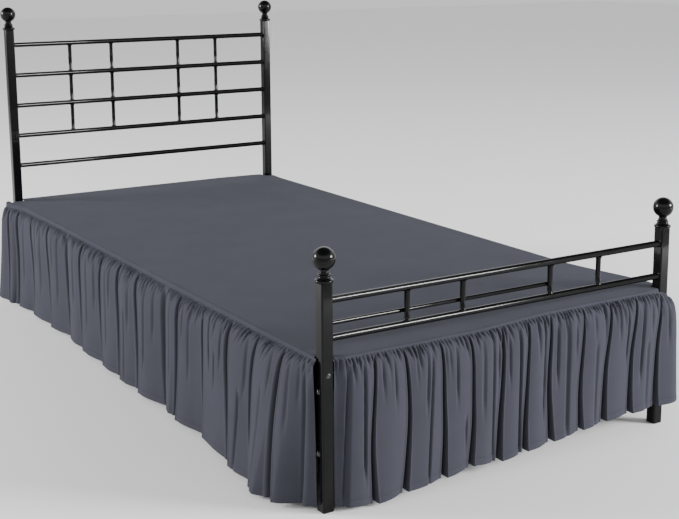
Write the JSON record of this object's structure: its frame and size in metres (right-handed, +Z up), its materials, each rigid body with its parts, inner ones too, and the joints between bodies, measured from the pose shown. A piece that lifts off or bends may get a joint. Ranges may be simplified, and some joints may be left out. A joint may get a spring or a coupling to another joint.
{
  "type": "bed skirt on a metal bed frame",
  "caption": "Gathered bed skirt: a flat deck sheet with ruffles down both long sides and the foot, on a black tube bed with ball finials.",
  "frame": {"origin": "on the floor, at the middle of the object's outline seen from above", "axes": "+Z up, +Y along the bed from its foot to its head, +X across the bed towards the side on the right when seen from the foot"},
  "size_m": [1.1716, 2.135, 1.0073],
  "materials": {
    "skirt_fabric": "soft brushed microfibre",
    "frame_metal": "gloss powder coat",
    "foot_plastic": "matte moulded"
  },
  "bodies": {
    "root": {"centre_leg_foot": "frame_metal", "centre_leg_head": "frame_metal", "centre_pad_foot": "foot_plastic", "centre_pad_head": "foot_plastic", "corner_plate_foot_left": "frame_metal", "corner_plate_foot_right": "frame_metal", "corner_plate_head_left": "frame_metal", "corner_plate_head_right": "frame_metal", "cross_rail_foot": "frame_metal", "cross_rail_head": "frame_metal", "deck_sheet": "skirt_fabric", "foot_finial_left": "frame_metal", "foot_finial_right": "frame_metal", "foot_post_left": "frame_metal", "foot_post_right": "frame_metal", "foot_rail_1": "frame_metal", "foot_rail_2": "frame_metal", "foot_thin_bar": "frame_metal", "foot_upright_1": "frame_metal", "foot_upright_2": "frame_metal", "foot_upright_3": "frame_metal", "foot_upright_4": "frame_metal", "head_finial_left": "frame_metal", "head_finial_right": "frame_metal", "head_post_left": "frame_metal", "head_post_right": "frame_metal", "head_rail_1": "frame_metal", "head_rail_2": "frame_metal", "head_rail_3": "frame_metal", "head_rail_4": "frame_metal", "head_rail_5": "frame_metal", "head_upright_1_1": "frame_metal", "head_upright_1_2": "frame_metal", "head_upright_1_3": "frame_metal", "head_upright_1_4": "frame_metal", "head_upright_2_1": "frame_metal", "head_upright_2_2": "frame_metal", "head_upright_2_3": "frame_metal", "head_upright_2_4": "frame_metal", "head_upright_3_1": "frame_metal", "head_upright_3_2": "frame_metal", "head_upright_3_3": "frame_metal", "head_upright_3_4": "frame_metal", "ruffle_foot": "skirt_fabric", "ruffle_left": "skirt_fabric", "ruffle_right": "skirt_fabric", "side_rail_left": "frame_metal", "side_rail_right": "frame_metal", "slat_1": "frame_metal", "slat_2": "frame_metal", "slat_3": "frame_metal", "slat_4": "frame_metal", "slat_5": "frame_metal", "slat_6": "frame_metal", "slat_7": "frame_metal", "slat_8": "frame_metal", "slat_9": "frame_metal", "spine": "frame_metal"}
  },
  "joints": []
}
